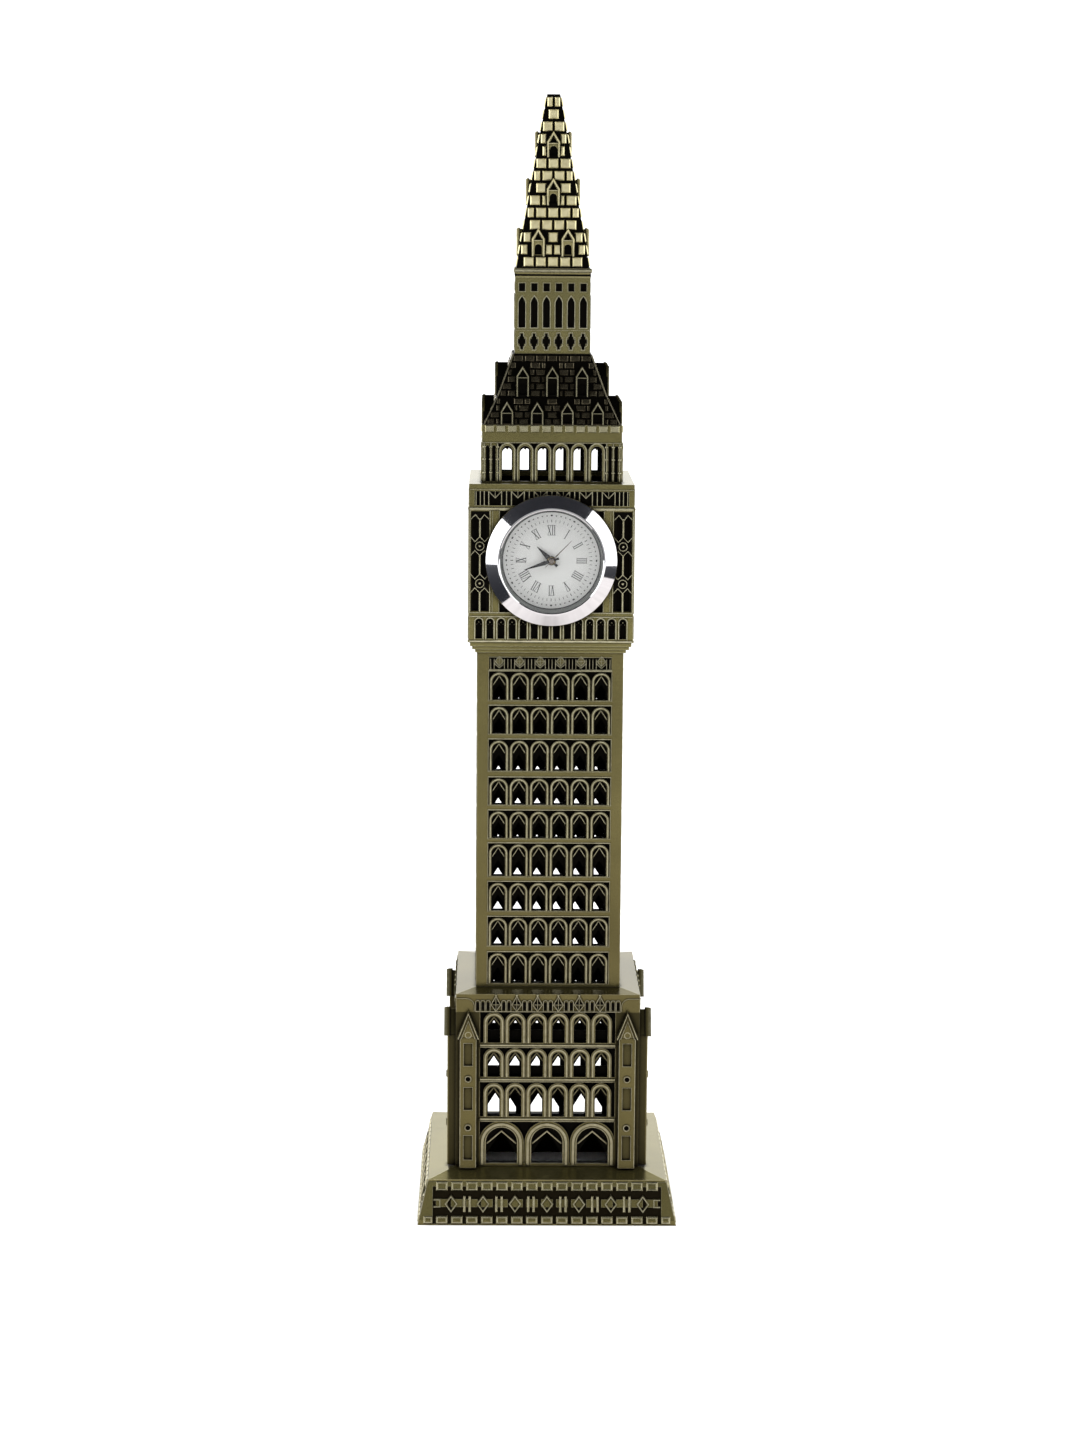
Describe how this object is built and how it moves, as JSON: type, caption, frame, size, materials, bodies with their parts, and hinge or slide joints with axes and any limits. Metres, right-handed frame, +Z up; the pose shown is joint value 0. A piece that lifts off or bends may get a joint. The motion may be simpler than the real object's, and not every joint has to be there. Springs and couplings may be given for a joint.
{
  "type": "miniature clock tower souvenir",
  "caption": "Free-standing openwork clock tower ornament with stepped square plinth, traceried shaft, tiered roof and spire, and a push-in round quartz clock.",
  "frame": {"origin": "middle of the base, on the surface the tower stands on", "axes": "+Z up the tower to the spire's tip, -Y out of the face that holds the clock, +X to the right of someone looking at the clock"},
  "size_m": [0.0534, 0.0534, 0.23],
  "materials": {
    "antique_brass": "antiqued satin, dark in the recesses and pale on worn edges",
    "roof_brown": "dark brown antiqued",
    "spire_gold": "bright antiqued gold, dark joints",
    "chrome": "polished",
    "glass": "clear polished",
    "gasket": "matte",
    "satin_steel": "satin",
    "dial_white": "matte lacquer",
    "black_plastic": "moulded",
    "white_plastic": "moulded",
    "circuit_green": "solder mask",
    "copper": "enamelled wire",
    "hand_black": "gloss lacquer",
    "second_copper": "thin metallic",
    "wheel_brass": "machined"
  },
  "bodies": {
    "tower": {"plinth_front": "antique_brass", "plinth_right": "antique_brass", "plinth_back": "antique_brass", "plinth_left": "antique_brass", "lower_storey_front": "antique_brass", "lower_storey_right": "antique_brass", "lower_storey_back": "antique_brass", "lower_storey_left": "antique_brass", "shaft_front": "antique_brass", "shaft_right": "antique_brass", "shaft_back": "antique_brass", "shaft_left": "antique_brass", "clock_stage_front": "antique_brass", "clock_stage_right": "antique_brass", "clock_stage_back": "antique_brass", "clock_stage_left": "antique_brass", "belfry_front": "antique_brass", "belfry_right": "antique_brass", "belfry_back": "antique_brass", "belfry_left": "antique_brass", "lower_roof_front": "roof_brown", "lower_roof_right": "roof_brown", "lower_roof_back": "roof_brown", "lower_roof_left": "roof_brown", "upper_roof": "roof_brown", "lantern": "antique_brass", "spire": "spire_gold"},
    "clock_insert": {"clock_bezel": "chrome", "crystal": "glass", "crystal_gasket": "gasket", "inner_ring": "satin_steel", "dial": "dial_white", "clock_case": "black_plastic", "grip_ring": "gasket", "movement_holder": "white_plastic", "case_back": "satin_steel", "main_plate": "white_plastic", "train_bridge": "white_plastic", "battery": "satin_steel", "battery_clamp": "satin_steel", "circuit_board": "circuit_green", "coil_core": "satin_steel", "coil_winding": "copper", "stator": "satin_steel"},
    "minute_hand": {"minute_hand": "hand_black", "cannon_pinion": "wheel_brass"},
    "hour_hand": {"hour_hand": "hand_black", "hour_wheel": "wheel_brass"},
    "minute_wheel": {"minute_wheel": "wheel_brass"},
    "second_hand": {"second_hand": "second_copper", "second_wheel": "wheel_brass"},
    "third_wheel": {"third_wheel": "wheel_brass"},
    "centre_wheel": {"centre_wheel": "wheel_brass"},
    "intermediate_wheel": {"intermediate_wheel": "wheel_brass"},
    "rotor": {"rotor": "satin_steel"},
    "stem_detent": {"stem_detent": "satin_steel"},
    "crown": {"crown": "satin_steel", "setting_stem": "satin_steel"}
  },
  "joints": [
    {"name": "clock_pull_out", "type": "slide", "parent": "tower", "child": "clock_insert", "axis": [0, -1, 0], "range_m": [0, 0.008]},
    {"name": "minute_hand_turn", "type": "hinge", "parent": "clock_insert", "child": "minute_hand", "pos_m": [0, -0.01752, 0.13685], "axis": [0, 1, 0], "continuous": true},
    {"name": "hour_hand_turn", "type": "hinge", "parent": "clock_insert", "child": "hour_hand", "pos_m": [0, -0.01712, 0.13685], "axis": [0, 1, 0], "continuous": true},
    {"name": "minute_wheel_turn", "type": "hinge", "parent": "clock_insert", "child": "minute_wheel", "pos_m": [0, -0.01592, 0.13445], "axis": [0, 1, 0], "continuous": true},
    {"name": "second_hand_turn", "type": "hinge", "parent": "clock_insert", "child": "second_hand", "pos_m": [0, -0.01782, 0.13685], "axis": [0, 1, 0], "continuous": true},
    {"name": "third_wheel_turn", "type": "hinge", "parent": "clock_insert", "child": "third_wheel", "pos_m": [-0.00213, -0.01392, 0.13648], "axis": [0, 1, 0], "continuous": true},
    {"name": "centre_wheel_turn", "type": "hinge", "parent": "clock_insert", "child": "centre_wheel", "pos_m": [0, -0.01422, 0.13685], "axis": [0, 1, 0], "continuous": true},
    {"name": "intermediate_wheel_turn", "type": "hinge", "parent": "clock_insert", "child": "intermediate_wheel", "pos_m": [0.0012, -0.01342, 0.13893], "axis": [0, 1, 0], "continuous": true},
    {"name": "rotor_turn", "type": "hinge", "parent": "clock_insert", "child": "rotor", "pos_m": [0.00331, -0.01392, 0.1397], "axis": [0, 1, 0], "continuous": true},
    {"name": "crown_pull", "type": "slide", "parent": "clock_insert", "child": "stem_detent", "axis": [1, 0, 0], "range_m": [0, 0.0008]},
    {"name": "crown_turn", "type": "hinge", "parent": "stem_detent", "child": "crown", "pos_m": [0.0102, -0.01322, 0.13685], "axis": [1, 0, 0], "continuous": true}
  ],
  "couplings": [
    {"joint": "hour_hand_turn", "follows": "minute_hand_turn", "ratio": 0.083333},
    {"joint": "minute_wheel_turn", "follows": "minute_hand_turn", "ratio": -0.33333},
    {"joint": "third_wheel_turn", "follows": "second_hand_turn", "ratio": -0.13333},
    {"joint": "centre_wheel_turn", "follows": "second_hand_turn", "ratio": 0.016667},
    {"joint": "intermediate_wheel_turn", "follows": "second_hand_turn", "ratio": -5},
    {"joint": "rotor_turn", "follows": "second_hand_turn", "ratio": 30}
  ]
}
